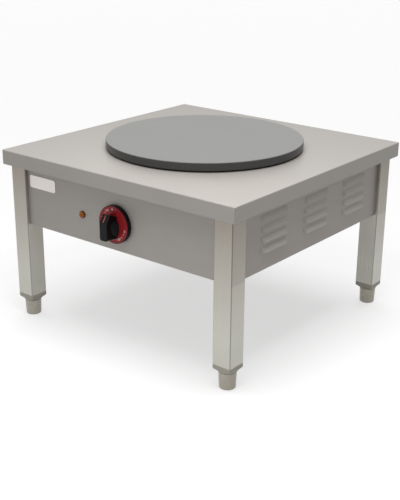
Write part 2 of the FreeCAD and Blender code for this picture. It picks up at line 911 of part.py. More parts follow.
def bottom_cover_screws():
    seat = panel_bottom - cover_gauge
    return group([screw(V(x, y, seat), Z_AXIS, cover_screw_radius, cover_screw_length, cover_screw_head,
                        cover_screw_head_height) for x, y in cover_screw_places()])


def panel_screws():
    """Two screws at each end of each panel, driven from inside through its flange into the leg."""
    screws = []
    for side in panel_turns:
        h = panel_length(side) / 2 - panel_gauge
        for z in (panel_screw_inset, panel_height - panel_screw_inset):
            for end in (-1, 1):
                one = screw(V(end * h, flange_middle, z), X_AXIS * end, panel_screw_radius,
                            panel_screw_length, panel_screw_head, panel_screw_head_height)
                screws.append(placed(one, side))
    return group(screws)


# Thermostat body behind the front panel, with its shaft through the panel into the knob
def thermostat_screw_xs():
    return [knob_centre_x - thermostat_screw_spacing / 2, knob_centre_x + thermostat_screw_spacing / 2]


def thermostat_body():
    w, h = thermostat_width / 2, thermostat_height / 2
    x, z = knob_centre_x, knob_centre_height
    body = box(x - w, x + w, inner_front_y, inner_front_y + thermostat_depth, z - h, z + h)
    long_edges = [e for e in body.Edges if abs(e.BoundBox.YLength - thermostat_depth) < 1e-3]
    body = body.makeFillet(thermostat_corner, long_edges)
    bore = rod(shaft_radius + shaft_clearance, shaft_depth + shaft_clearance, V(x, inner_front_y, z), Y_AXIS)
    tapped = [rod(thermostat_screw_radius + screw_clearance / 2, thermostat_screw_length,
                  V(sx, inner_front_y, z), Y_AXIS) for sx in thermostat_screw_xs()]
    tabs = []
    for k in (-1, 1):
        end = thermostat_tab(k)
        low = z - h + tab_rise
        tabs.append(box(end.x - tab_width / 2, end.x + tab_width / 2, end.y - tab_length, end.y,
                        low, low + tab_gauge))
    return body.cut([bore] + tapped).fuse(tabs)


def thermostat_tab(k):
    """The end of a connection tab, on the left for k = -1 and on the right for k = 1."""
    x = knob_centre_x + k * thermostat_width / 4
    return V(x, inner_front_y + thermostat_depth + tab_length,
             knob_centre_height - thermostat_height / 2 + tab_rise + tab_gauge / 2)


def thermostat_screws():
    return group([screw(V(x, -panel_face_y, knob_centre_height), Y_AXIS, thermostat_screw_radius,
                        thermostat_screw_length, thermostat_screw_head, thermostat_screw_head_height)
                  for x in thermostat_screw_xs()])


shaft_front_y = knob_face_y - shaft_reach


def thermostat_shaft():
    back = inner_front_y + shaft_depth
    bar = rod(shaft_radius, back - shaft_front_y, V(knob_centre_x, shaft_front_y, knob_centre_height), Y_AXIS)
    flat = box(knob_centre_x - shaft_radius, knob_centre_x + shaft_radius, shaft_front_y,
               knob_back_y, knob_centre_height + shaft_flat_height, knob_centre_height + shaft_radius)
    return bar.cut(flat)


def knob_bush():
    """The brass bush moulded in the knob, with a D-shaped bore for the shaft."""
    start = knob_back_y + bush_stand
    outer = rod(bush_radius, bush_length, V(knob_centre_x, start - bush_length, knob_centre_height), Y_AXIS)
    bore = rod(shaft_radius + screw_clearance / 2, start - shaft_front_y,
               V(knob_centre_x, shaft_front_y, knob_centre_height), Y_AXIS)
    key_low = knob_centre_height + shaft_flat_height + screw_clearance / 2
    key = box(knob_centre_x - shaft_radius, knob_centre_x + shaft_radius, shaft_front_y - 1, knob_back_y,
              key_low, knob_centre_height + shaft_radius * 2)
    return outer.cut(bore.cut(key))


def grip_profile():
    """The grip's side outline, as (height above the knob's axis, reach in front of the dial)."""
    return [(-grip_foot_below, 0.0), (-grip_below, grip_reach), (grip_front_above, grip_reach),
            (grip_nose_above, grip_nose_reach), (grip_heel_above, 0.0)]


def lens_wire(half_width, low, high, y):
    """An oval of two lines' height low to high, lying in a plane across Y."""
    middle = (low + high) / 2
    half = (high - low) / 2
    major, minor = (half, half_width) if half >= half_width else (half_width, half)
    long_axis = Z_AXIS if half >= half_width else X_AXIS
    centre = V(knob_centre_x, y, knob_centre_height + middle)
    oval = Part.Ellipse(centre + long_axis * major, centre + Y_AXIS.cross(long_axis) * minor, centre)
    return Part.Wire([oval.toShape()])


def knob_body():
    """One moulding: a hollow skirt, a flared hub and a bar grip with a sloping nose."""
    x, z = knob_centre_x, knob_centre_height
    skirt = rod(knob_radius, knob_skirt, V(x, knob_back_y, z), Y_AXIS * -1)
    front_rim = [e for e in skirt.Edges if e.BoundBox.YMax < knob_face_y + 1e-3]
    skirt = skirt.makeFillet(knob_edge_radius, front_rim)
    hollow = rod(knob_radius - knob_wall, knob_skirt - knob_wall, V(x, knob_back_y, z), Y_AXIS * -1)
    outline = [V(x - grip_width / 2, knob_face_y - reach, z + up) for up, reach in grip_profile()]
    bar = Part.Face(Part.makePolygon(outline + outline[:1])).extrude(V(grip_width, 0, 0))
    lower_corners = [e for e in bar.Edges if e.BoundBox.ZMax < z - grip_below + 1e-3
                     and e.BoundBox.XLength < 1e-3]
    bar = bar.makeFillet(grip_corner_radius, lower_corners)
    long_edges = [e for e in bar.Edges if e.BoundBox.XLength < 1e-3 and e.BoundBox.YMax < knob_face_y - 1]
    bar = bar.makeFillet(grip_edge_radius, long_edges)
    barrel = rod(grip_foot_below, grip_reach + 1, V(x, knob_face_y + 1, z), Y_AXIS * -1)
    bar = bar.common(barrel)
    hub_foot = lens_wire(hub_half_width, -hub_below, grip_heel_above, knob_face_y)
    hub_waist = lens_wire(hub_waist_half_width, hub_waist_rise - hub_below, grip_heel_above + 1,
                          knob_face_y - grip_nose_reach)
    hub = Part.makeLoft([hub_foot, hub_waist], True, True)
    post = rod(bush_radius + knob_wall, knob_skirt - knob_wall, V(x, knob_back_y, z), Y_AXIS * -1)
    socket = rod(bush_radius, bush_length - bush_stand, V(x, knob_back_y, z), Y_AXIS * -1)
    dial_seat = dial_blank(0.0)
    shaft_room = rod(shaft_radius + screw_clearance, knob_back_y - shaft_front_y + shaft_end_room,
                     V(x, knob_back_y, z), Y_AXIS * -1)
    return skirt.cut(hollow).fuse([post, hub, bar]).cut([socket, shaft_room, dial_seat])


def dial_blank(slack):
    """The dial's disc, sunk in the knob's face and open round the foot of the hub and the grip."""
    x, z = knob_centre_x, knob_centre_height
    disc = rod(dial_outer_radius - slack, dial_thickness, V(x, knob_face_y, z), Y_AXIS)
    oval = lens_wire(hub_half_width + slack, -hub_below - slack, grip_heel_above + slack, knob_face_y)
    hub_foot = Part.Face(oval).extrude(V(0, dial_thickness, 0))
    half = grip_width / 2 + slack
    grip_foot = box(x - half, x + half, knob_face_y, knob_face_y + dial_thickness,
                    z - grip_foot_below - slack, z + grip_heel_above + slack)
    return disc.cut([hub_foot, grip_foot])


def knob_dial():
    return dial_blank(dial_slack)


def knob_pointer():
    """A marker strip on the grip's sloping nose."""
    x, z = knob_centre_x, knob_centre_height
    low = V(x, knob_face_y - grip_reach, z + grip_front_above)
    high = V(x, knob_face_y - grip_nose_reach, z + grip_nose_above)
    along = (high - low).normalize()
    outward = along.cross(X_AXIS)
    if outward.y > 0:
        outward = outward * -1
    start = low + along * ((high - low).Length - pointer_length) / 2
    side = X_AXIS * (pointer_width / 2)
    points = [start - side, start + side, start + side + along * pointer_length,
              start - side + along * pointer_length, start - side]
    return Part.Face(Part.makePolygon(points)).extrude(outward * pointer_thickness)


# Pilot lamp: a lens in a bezel, on a barrel that a nut holds behind the panel
def lamp_base():
    return V(lamp_centre_x, -panel_face_y, lamp_centre_height)


def lamp_lens():
    base = lamp_base() - Y_AXIS * lamp_bezel_thickness
    r = lamp_lens_radius
    return turned([(0, 0), (r, 0), (r, lamp_lens_reach * 0.3), (r * 0.85, lamp_lens_reach * 0.75),
                   (r * 0.5, lamp_lens_reach), (0, lamp_lens_reach)], base, Y_AXIS * -1)


def lamp_body():
    bezel = rod(lamp_bezel_radius, lamp_bezel_thickness, lamp_base(), Y_AXIS * -1)
    barrel = rod(lamp_barrel_radius, lamp_barrel_length, lamp_base(), Y_AXIS)
    pins = []
    for way in (-1, 1):
        x = lamp_centre_x + way * lamp_pin_reach
        pins.append(box(x - lamp_pin_gauge / 2, x + lamp_pin_gauge / 2, lamp_pin_y() - lamp_pin_length,
                        lamp_pin_y(), lamp_centre_height - lamp_pin_width / 2,
                        lamp_centre_height + lamp_pin_width / 2))
    return bezel.fuse([barrel] + pins)


def lamp_pin_y():
    return -panel_face_y + lamp_barrel_length + lamp_pin_length


def lamp_nut():
    base = V(lamp_centre_x, inner_front_y, lamp_centre_height)
    nut = hexagon(2 * lamp_nut_radius, lamp_nut_height, base, Y_AXIS)
    return nut.cut(rod(lamp_barrel_radius + lamp_fit, lamp_nut_height, base, Y_AXIS))


def label_plate():
    """The blank name plate at the upper left of the front panel."""
    y = -panel_face_y
    low = label_top_height - label_height
    plate = box(label_left, label_left + label_width, y - label_thickness, y, low, label_top_height)
    ends = [e for e in plate.Edges if abs(e.BoundBox.YLength - label_thickness) < 1e-3
            and e.BoundBox.XLength < 1e-3 and e.BoundBox.ZLength < 1e-3]
    return plate.makeFillet(label_corner, ends)


# Mains entry at the rear
def gland_base():
    return V(gland_x, panel_face_y, gland_height)


def gland_body():
    collar = hexagon(gland_hex, gland_collar, gland_base(), Y_AXIS)
    shank = rod(gland_thread_radius, gland_shank, gland_base(), Y_AXIS * -1)
    bore = rod(gland_bore, gland_shank + gland_collar, gland_base() - Y_AXIS * gland_shank, Y_AXIS)
    return collar.fuse(shank).cut(bore)


def gland_dome_nut():
    base = gland_base() + Y_AXIS * gland_collar
    full = gland_dome_radius_full
    dome = turned([(0, 0), (full, 0), (full, gland_dome_straight), (gland_dome_radius_end, gland_dome),
                   (0, gland_dome)], base, Y_AXIS)
    flutes = []
    for k in range(gland_flutes):
        turn = 2 * math.pi * k / gland_flutes
        out = V(math.cos(turn), 0, math.sin(turn)) * (full + gland_flute_radius / 2)
        start = base + out + Y_AXIS * gland_flute_start
        flutes.append(rod(gland_flute_radius, gland_flute_length, start, Y_AXIS))
    return dome.cut(flutes + [rod(gland_bore, gland_dome, base, Y_AXIS)])


def gland_seal():
    """The rubber sleeve that grips the mains lead."""
    base = gland_base() + Y_AXIS * (gland_collar + gland_dome - gland_seal_length)
    sleeve = rod(gland_bore, gland_seal_length, base, Y_AXIS)
    return sleeve.cut(rod(gland_bore - gland_seal_wall, gland_seal_length, base, Y_AXIS))


def gland_locknut():
    base = V(gland_x, inner_rear_y - gland_locknut_height, gland_height)
    nut = hexagon(gland_hex, gland_locknut_height, base, Y_AXIS)
    return nut.cut(rod(gland_thread_radius + gland_fit, gland_locknut_height, base, Y_AXIS))


def block_screw_xs():
    reach = block_width / 2 - block_screw_inset
    return [block_x - reach, block_x + reach]


def pole_x(pole):
    return block_x + (pole - (block_poles - 1) / 2) * block_pole_pitch


def terminal_block():
    """A ceramic block with three through holes for its brass barrels."""
    block = box(block_x - block_width / 2, block_x + block_width / 2, inner_rear_y - block_deep, inner_rear_y,
                block_height - block_tall / 2, block_height + block_tall / 2)
    tools = []
    for pole in range(block_poles):
        tools.append(upright(block_barrel_radius + screw_clearance, block_height - block_tall / 2,
                             block_height + block_tall / 2, pole_x(pole), block_barrel_y))
        tools.append(rod(block_screw_radius + block_driver_room, block_deep / 2,
                         V(pole_x(pole), inner_rear_y - block_deep, block_height), Y_AXIS))
    for x in block_screw_xs():
        tools.append(rod(block_screw_radius + screw_clearance, block_deep,
                         V(x, inner_rear_y - block_deep, block_height), Y_AXIS))
    return cut_all(block, tools)


block_barrel_y = inner_rear_y - block_deep / 2


def terminal_barrels():
    """A brass barrel and its clamping screw for each pole."""
    low = block_height - block_tall / 2 + block_barrel_inset
    high = block_height + block_tall / 2 - block_barrel_inset
    pieces = []
    for pole in range(block_poles):
        barrel = upright(block_barrel_radius, low, high, pole_x(pole), block_barrel_y)
        clamp = rod(block_screw_radius, block_deep / 2 - block_clamp_inset,
                    V(pole_x(pole), inner_rear_y - block_deep + block_clamp_inset, block_height), Y_AXIS)
        pieces.append(barrel.fuse(clamp))
    return group(pieces)


def terminal_block_screws():
    return group([screw(V(x, inner_rear_y - block_deep, block_height), Y_AXIS, block_screw_radius,
                        block_screw_length, block_screw_head, block_screw_head_height)
                  for x in block_screw_xs()])


def pole_spot(pole):
    """The upper end of a pole's barrel, where its wire is held."""
    return V(pole_x(pole), block_barrel_y, block_height + block_tall / 2 - block_barrel_inset)


def earth_stud():
    """A stud with its free outer end turned down a little, where a bonding lead is fastened."""
    start = V(earth_x, inner_rear_y - earth_stud_inside, earth_height)
    held = earth_stud_inside + panel_gauge + earth_washer + earth_nut_height
    free = V(earth_x, panel_face_y + earth_washer + earth_nut_height, earth_height)
    pin = rod(earth_pin_radius, earth_pin_length, free, Y_AXIS)
    return rod(earth_stud_radius, held, start, Y_AXIS).fuse(pin)


def earth_nuts():
    """One nut inside and one outside the rear panel, each with a washer."""
    pieces = []
    for face, way in ((inner_rear_y, -1), (panel_face_y, 1)):
        base = V(earth_x, face, earth_height)
        out = Y_AXIS * way
        bore = rod(earth_stud_radius + screw_clearance / 2, 3 * earth_nut_height, base, out)
        washer = rod(earth_nut_hex * 0.62, earth_washer, base, out)
        nut = hexagon(earth_nut_hex, earth_nut_height, base + out * earth_washer, out)
        pieces += [washer.cut(bore), nut.cut(bore)]
    return group(pieces)


# Inner wiring, in straight runs and tangent arcs
wire_level = panel_bottom + 22.0
line_wire_rise = 30.0
line_wire_run = 40.0
line_wire_swing = 45.0
line_wire_landing = 90.0
line_wire_approach = 50.0
switched_wire_run = 30.0
neutral_wire_rise = 24.0
neutral_wire_run = 36.0
earth_wire_rise = 26.0
earth_wire_run = 24.0
earth_wire_swing = 50.0
earth_wire_approach = 30.0
lamp_wire_run = 20.0
lamp_wire_approach = 12.0


def line_wire():
    """From the mains block's first pole to the thermostat."""
    start = pole_spot(0)
    end = thermostat_tab(1)
    lift = start.z + line_wire_rise
    points = [start, V(start.x, start.y, lift), V(start.x, start.y - line_wire_run, lift),
              V(end.x + line_wire_swing, end.y + line_wire_landing, wire_level),
              V(end.x, end.y + line_wire_approach, end.z), end]
    return bent_tube(points, wire_bend, wire_radius)


def switched_wire():
    """From the thermostat to the heater's first terminal."""
    start = thermostat_tab(-1)
    end = pin_spot(0)
    points = [start, V(start.x, start.y + switched_wire_run, start.z), V(end.x, end.y, start.z), end]
    return bent_tube(points, wire_bend, wire_radius)


def neutral_wire():
    """From the mains block's second pole to the heater's second terminal."""
    start = pole_spot(1)
    end = pin_spot(1)
    lift = start.z + neutral_wire_rise
    points = [start, V(start.x, start.y, lift), V(start.x, start.y - neutral_wire_run, lift),
              V(end.x, end.y, end.z - neutral_wire_run), end]
    return bent_tube(points, wire_bend, wire_radius)


def earth_wire():
    """From the mains block's third pole to the earth stud."""
    start = pole_spot(2)
    end = V(earth_x, inner_rear_y - earth_stud_inside, earth_height)
    lift = start.z + earth_wire_rise
    points = [start, V(start.x, start.y, lift), V(start.x + earth_wire_swing, start.y - earth_wire_run, lift),
              V(end.x, end.y - earth_wire_approach, end.z), end]
    return bent_tube(points, wire_bend, wire_radius)


def lamp_wires():
    """Two thin leads from the lamp's pins, one to the thermostat and one to the heater's second pin."""
    leads = []
    tab = thermostat_tab(-1) - X_AXIS * (tab_width / 2)
    pin = pin_spot(1) + V(-terminal_pin_radius, 0, terminal_pin_length / 2)
    for way, end, before in ((1, tab, V(-30, 24, 0)), (-1, pin, V(-40, -20, 0))):
        start = V(lamp_centre_x + way * lamp_pin_reach, lamp_pin_y(), lamp_centre_height)
        points = [start, start + Y_AXIS * lamp_wire_run, end + before, end - X_AXIS * lamp_wire_approach, end]
        leads.append(bent_tube(points, lamp_wire_radius * 4, lamp_wire_radius))
    return group(leads)


save("top_sheet", top_sheet())
save("griddle_plate", griddle_plate())
save("plate_gasket", plate_gasket())
save("plate_studs", plate_studs())
save("plate_nuts", plate_nuts())
save("heating_element", heating_element())
save("element_terminals", element_terminals())
save("element_clamp_plate", element_clamp_plate())
save("insulation_disc", insulation_disc())
save("heater_tray", heater_tray())
for corner, signs in corners.items():
    save("leg_" + corner, leg(*signs))
    save("leg_insert_" + corner, leg_insert(*signs))
    save("foot_" + corner, foot(*signs))
save("front_panel", front_panel())
save("rear_panel", rear_panel())
save("left_panel", louvred_panel("left"))
save("right_panel", louvred_panel("right"))
save("panel_screws", panel_screws())
save("bottom_cover", bottom_cover())
save("bottom_cover_screws", bottom_cover_screws())
save("thermostat_body", thermostat_body())
save("thermostat_screws", thermostat_screws())
save("thermostat_shaft", thermostat_shaft())
save("thermostat_bulb", thermostat_bulb())
save("thermostat_capillary", thermostat_capillary())
save("bulb_clip", bulb_clip())
save("bulb_clip_screws", bulb_clip_screws())
save("knob_body", knob_body())
save("knob_dial", knob_dial())
save("knob_pointer", knob_pointer())
save("knob_bush", knob_bush())
save("lamp_lens", lamp_lens())
save("lamp_body", lamp_body())
save("lamp_nut", lamp_nut())
save("label_plate", label_plate())
save("gland_body", gland_body())
save("gland_dome_nut", gland_dome_nut())
save("gland_seal", gland_seal())
save("gland_locknut", gland_locknut())
save("terminal_block", terminal_block())
save("terminal_barrels", terminal_barrels())
save("terminal_block_screws", terminal_block_screws())
save("earth_stud", earth_stud())
save("earth_nuts", earth_nuts())
save("line_wire", line_wire())
save("switched_wire", switched_wire())
save("neutral_wire", neutral_wire())
save("earth_wire", earth_wire())
save("lamp_wires", lamp_wires())
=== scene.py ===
import math
import bpy
import numpy as np
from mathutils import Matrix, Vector


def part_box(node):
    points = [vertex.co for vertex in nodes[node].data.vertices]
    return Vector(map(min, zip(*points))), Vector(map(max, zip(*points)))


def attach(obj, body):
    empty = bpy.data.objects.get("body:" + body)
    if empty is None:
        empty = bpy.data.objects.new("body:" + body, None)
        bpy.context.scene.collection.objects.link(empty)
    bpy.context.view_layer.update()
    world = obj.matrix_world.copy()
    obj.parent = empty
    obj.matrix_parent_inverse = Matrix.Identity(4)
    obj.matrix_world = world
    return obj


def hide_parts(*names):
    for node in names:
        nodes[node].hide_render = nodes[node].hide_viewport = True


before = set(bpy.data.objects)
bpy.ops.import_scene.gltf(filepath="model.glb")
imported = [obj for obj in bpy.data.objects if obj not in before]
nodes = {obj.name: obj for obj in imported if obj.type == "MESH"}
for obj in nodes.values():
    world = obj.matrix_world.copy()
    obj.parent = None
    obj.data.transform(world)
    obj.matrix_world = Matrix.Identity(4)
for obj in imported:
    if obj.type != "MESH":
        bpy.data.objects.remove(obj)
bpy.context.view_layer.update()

# Camera: stands at the front right corner of the table and looks down on it.
# Its place and lens come from the table's corners, fitted to the picture's frame.
camera_place = (1.181832, -1.492790, 0.846447)
camera_turn = math.radians(38.5999)
camera_tilt = math.radians(20.6345)
camera_roll = math.radians(0.4421)
camera_lens = 69.2255


def camera_axes(turn, tilt, roll):
    """Right, up and back of a camera turned about Z, tilted down, then rolled about its own view."""
    back = Vector((math.sin(turn) * math.cos(tilt), -math.cos(turn) * math.cos(tilt), math.sin(tilt)))
    right = Vector((0, 0, 1)).cross(back).normalized()
    up = back.cross(right)
    rolled_right = right * math.cos(roll) + up * math.sin(roll)
    rolled_up = up * math.cos(roll) - right * math.sin(roll)
    return rolled_right, rolled_up, back


camera = bpy.data.objects.new("camera", bpy.data.cameras.new("camera"))
bpy.context.scene.collection.objects.link(camera)
for column, axis in enumerate(camera_axes(camera_turn, camera_tilt, camera_roll)):
    for row in range(3):
        camera.matrix_world[row][column] = axis[row]
camera.matrix_world.translation = camera_place
camera.data.lens = camera_lens
camera.data.sensor_width = 36.0
bpy.context.scene.camera = camera
bpy.context.scene.view_settings.view_transform = "Standard"

# Studio: a wide pale floor that runs out to white, and a soft sky that is brighter overhead
# than at the horizon, as under a large diffuser. One broad lamp gives the floor its shadow, one
# hangs over the near corner, and one stands low in front of the table.
floor_reach = 30.0
floor_colour = (0.39, 0.39, 0.39, 1)
floor_glow = 0.59
floor_roughness = 0.9
floor_gloss = 0.1
sky_low = 0.05
sky_high = 0.74
sky_left = 1.24
sky_right = 0.38
lamp_strength = 1.60
lamp_spread = math.radians(46)
lamp_lean = (math.radians(-7), math.radians(-3), 0)
corner_lamp_place = (0.28, -0.38, 1.00)
corner_lamp_size = 0.50
corner_lamp_power = 5.4
front_lamp_place = (0.15, -0.95, 0.22)
front_lamp_size = 0.30
front_lamp_power = 0.65


def add_node(tree, kind, settings=(), **inputs):
    """A node of a kind, with its settings and the given values or links on its inputs."""
    node = tree.nodes.new(kind)
    for name, value in dict(settings).items():
        setattr(node, name, value)
    for name, value in inputs.items():
        socket = node.inputs[int(name[1:])] if name[1:].isdigit() else node.inputs[name.replace("_", " ")]
        if isinstance(value, bpy.types.NodeSocket):
            tree.links.new(value, socket)
        else:
            socket.default_value = value
    return node


def shows_white(tree):
    """One for rays from the camera, from gloss and through clear material, and nought for light."""
    path = add_node(tree, "ShaderNodeLightPath").outputs
    gloss = add_node(tree, "ShaderNodeMath", {"operation": "MAXIMUM"}, _0=path["Is Camera Ray"],
                     _1=path["Is Glossy Ray"]).outputs[0]
    return add_node(tree, "ShaderNodeMath", {"operation": "MAXIMUM"}, _0=gloss,
                    _1=path["Is Transmission Ray"]).outputs[0]


def studio_sky():
    """Strength rises with the ray's upward part and falls to the right; camera and gloss see white."""
    world = bpy.data.worlds.new("studio")
    bpy.context.scene.world = world
    world.use_nodes = True
    tree = world.node_tree
    direction = add_node(tree, "ShaderNodeTexCoord").outputs["Generated"]
    way = add_node(tree, "ShaderNodeSeparateXYZ", Vector=direction).outputs
    overhead = add_node(tree, "ShaderNodeMapRange", From_Min=0.0, From_Max=1.0, To_Min=sky_low,
                        To_Max=sky_high, Value=way["Z"]).outputs[0]
    sideways = add_node(tree, "ShaderNodeMapRange", From_Min=-1.0, From_Max=1.0, To_Min=sky_left,
                        To_Max=sky_right, Value=way["X"]).outputs[0]
    light = add_node(tree, "ShaderNodeMath", {"operation": "MULTIPLY"}, _0=overhead, _1=sideways)
    seen = shows_white(tree)
    strength = add_node(tree, "ShaderNodeMix", _0=seen, _2=light.outputs[0], _3=1.0).outputs[0]
    tree.links.new(strength, tree.nodes["Background"].inputs["Strength"])
    tree.nodes["Background"].inputs["Color"].default_value = (1, 1, 1, 1)


def pale_floor():
    """A flat square far larger than the table, whose glow is seen but lights nothing."""
    mesh = bpy.data.meshes.new("floor")
    corners = [(x * floor_reach, y * floor_reach, 0) for x, y in ((-1, -1), (1, -1), (1, 1), (-1, 1))]
    mesh.from_pydata(corners, [], [(0, 1, 2, 3)])
    floor = bpy.data.objects.new("floor", mesh)
    bpy.context.scene.collection.objects.link(floor)
    material = bpy.data.materials.new("floor_paper")
    material.use_nodes = True
    tree = material.node_tree
    shader = tree.nodes["Principled BSDF"]
    shader.inputs["Base Color"].default_value = floor_colour
    shader.inputs["Roughness"].default_value = floor_roughness
    shader.inputs["Specular IOR Level"].default_value = floor_gloss
    shader.inputs["Emission Color"].default_value = (1, 1, 1, 1)
    seen = shows_white(tree)
    glow = add_node(tree, "ShaderNodeMath", {"operation": "MULTIPLY"}, _0=seen, _1=floor_glow)
    tree.links.new(glow.outputs[0], shader.inputs["Emission Strength"])
    mesh.materials.append(material)


def hang_lamp(name, data):
    """Put a lamp in the scene. Gloss sees the white studio and not the lamp, so no hot spot shows."""
    lamp = bpy.data.objects.new(name, data)
    lamp.visible_glossy = False
    bpy.context.scene.collection.objects.link(lamp)
    return lamp


def broad_lamp():
    """A distant lamp with a wide disc, so that its shadow is soft."""
    data = bpy.data.lights.new("overhead", "SUN")
    data.energy = lamp_strength
    data.angle = lamp_spread
    hang_lamp("overhead", data).rotation_euler = lamp_lean


def soft_panel(name, place, target, size, power):
    """A square lamp at a place, turned to face a target."""
    data = bpy.data.lights.new(name, "AREA")
    data.energy = power
    data.size = size
    lamp = hang_lamp(name, data)
    lamp.location = place
    lamp.rotation_euler = (Vector(target) - Vector(place)).to_track_quat("-Z", "Y").to_euler()


studio_sky()
pale_floor()
broad_lamp()
soft_panel("corner", corner_lamp_place, (*corner_lamp_place[:2], 0), corner_lamp_size, corner_lamp_power)
soft_panel("front", front_lamp_place, (0, 0, front_lamp_place[2]), front_lamp_size, front_lamp_power)

# Folded top sheet: stainless steel with a fine brushed grain along the front, bent down
# on all four sides. Handling leaves faint smudges.
top_colour = (0.368, 0.347, 0.320)
top_roughness = 0.42
hairline_width = 0.0005
hairline_length = 0.06
smudge_size = 0.18
smudge_shade = 0.04
smudge_polish = 0.04
smudge_haze = 0.05


def shader_material(name, metallic, specular=0.5):
    """A material with one Principled shader whose plain values sit on its own sockets."""
    material = bpy.data.materials.new(name)
    material.use_nodes = True
    tree = material.node_tree
    shader = tree.nodes["Principled BSDF"]
    shader.inputs["Metallic"].default_value = metallic
    shader.inputs["Specular IOR Level"].default_value = specular
    return material, tree, shader


def noise(tree, sizes, detail, roughness=0.55):
    """Noise in the object's own place, whose features have the given size along X, Y and Z."""
    place = add_node(tree, "ShaderNodeTexCoord").outputs["Object"]
    scaled = add_node(tree, "ShaderNodeMapping", Vector=place, Scale=[1 / size for size in sizes])
    return add_node(tree, "ShaderNodeTexNoise", Vector=scaled.outputs[0], Scale=1.0, Detail=detail,
                    Roughness=roughness).outputs["Fac"]


def spread(tree, value, low, high, start=0.3, end=0.7):
    """A value that goes from low to high while the input goes from start to end."""
    return add_node(tree, "ShaderNodeMapRange", Value=value, From_Min=start, From_Max=end, To_Min=low,
                    To_Max=high).outputs[0]


def total(tree, first, second):
    """The sum of two values."""
    return add_node(tree, "ShaderNodeMath", {"operation": "ADD"}, _0=first, _1=second).outputs[0]


def shaded(tree, colour, level):
    """A colour times a level that varies over the surface."""
    return add_node(tree, "ShaderNodeVectorMath", {"operation": "SCALE"}, _0=colour, Scale=level).outputs[0]


def raised(tree, height, depth, strength=1.0):
    """A bumped normal from a height between 0 and 1 over a depth in metres."""
    return add_node(tree, "ShaderNodeBump", Height=height, Distance=depth, Strength=strength).outputs[0]


def brushed_steel(name, colour, grain, roughness, contrast=0.10, metallic=0.27, depth=0.00003,
                  gloss_change=0.05):
    """Hairlines along the grain axis and broad smudges move the colour and gloss; hairlines are bumped."""
    material, tree, shader = shader_material(name, metallic)
    sizes = [hairline_length if axis == grain else hairline_width for axis in "XYZ"]
    lines = noise(tree, sizes, 3.0)
    smudges = noise(tree, [smudge_size] * 3, 3.0)
    level = total(tree, spread(tree, lines, -contrast / 2, contrast / 2),
                  spread(tree, smudges, 1 - smudge_shade, 1 + smudge_shade))
    tree.links.new(shaded(tree, colour, level), shader.inputs["Base Color"])
    gloss = total(tree, spread(tree, lines, -gloss_change, gloss_change),
                  spread(tree, smudges, roughness - smudge_polish, roughness + smudge_haze))
    tree.links.new(gloss, shader.inputs["Roughness"])
    tree.links.new(raised(tree, lines, depth, 0.6), shader.inputs["Normal"])
    return material


def dress(material, *names):
    """Give a material to finished nodes of the model."""
    for name in names:
        mesh = nodes[name].data
        mesh.materials.clear()
        mesh.materials.append(material)


dress(brushed_steel("brushed_top", top_colour, "X", top_roughness), "top_sheet")

# Griddle plate: a cast-iron disc, its cooking face turned smooth and then darkened by heat
# and oil. The turning tool leaves fine rings, and the rim keeps the darker, drier skin.
plate_colour = (0.250, 0.250, 0.244)
plate_rim_colour = (0.070, 0.070, 0.068)
plate_ring_pitch = 0.0011
plate_roughness = 0.36
plate_metallic = 0.75
plate_ring_depth = 0.000006
plate_edge_band = (0.0012, 0.0002)
plate_stain_size = 0.07
casting_grit = 0.0012
casting_grit_depth = 0.00006


def griddle_iron():
    """Rings follow the distance from the axis; height parts the turned face from the cast side."""
    material, tree, shader = shader_material("griddle_iron", plate_metallic)
    place = add_node(tree, "ShaderNodeTexCoord").outputs["Object"]
    flat = add_node(tree, "ShaderNodeVectorMath", {"operation": "MULTIPLY"}, _0=place, _1=(1, 1, 0))
    radius = add_node(tree, "ShaderNodeVectorMath", {"operation": "LENGTH"}, _0=flat.outputs[0])
    turns = add_node(tree, "ShaderNodeMath", {"operation": "MULTIPLY"}, _0=radius.outputs["Value"],
                     _1=2 * math.pi / plate_ring_pitch)
    rings = add_node(tree, "ShaderNodeMath", {"operation": "SINE"}, _0=turns.outputs[0]).outputs[0]
    plate_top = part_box("griddle_plate")[1][2]
    height = add_node(tree, "ShaderNodeSeparateXYZ", Vector=place).outputs["Z"]
    face = spread(tree, height, 0.0, 1.0, *(plate_top - below for below in plate_edge_band))
    stains = noise(tree, [plate_stain_size] * 3, 5.0)
    grit = noise(tree, [casting_grit] * 3, 3.0)
    top = shaded(tree, plate_colour, spread(tree, stains, 0.90, 1.08))
    side = shaded(tree, plate_rim_colour, spread(tree, grit, 0.8, 1.25))
    colour = add_node(tree, "ShaderNodeMix", {"data_type": "RGBA"}, _0=face, _6=top, _7=side)
    tree.links.new(side, colour.inputs[6])
    tree.links.new(top, colour.inputs[7])
    tree.links.new(colour.outputs[2], shader.inputs["Base Color"])
    gloss = total(tree, spread(tree, stains, plate_roughness - 0.04, plate_roughness + 0.06),
                  spread(tree, face, 0.02, 0.0, 0.0, 1.0))
    tree.links.new(gloss, shader.inputs["Roughness"])
    fine = raised(tree, grit, casting_grit_depth, 0.5)
    rough = add_node(tree, "ShaderNodeBump", Height=rings, Distance=plate_ring_depth, Strength=0.5,
                     Normal=fine)
    tree.links.new(rough.outputs[0], shader.inputs["Normal"])
    return material


dress(griddle_iron(), "griddle_plate")

# Housing panels: the same sheet as the top, left duller. Their grain runs along each panel.
# The louvres are pressed out of the side panels, and their crowns carry a painted highlight.
panel_colour = (0.375, 0.350, 0.325)
panel_roughness = 0.46
# Painted highlight: how much lighter the louvre crowns are painted.
louvre_reach = 0.006
louvre_painted_highlight = 1.22

dress(brushed_steel("front_panel_steel", panel_colour, "X", panel_roughness), "front_panel", "rear_panel")


def size_of(tree, value):
    """A value without its sign."""
    return add_node(tree, "ShaderNodeMath", {"operation": "ABSOLUTE"}, _0=value).outputs[0]


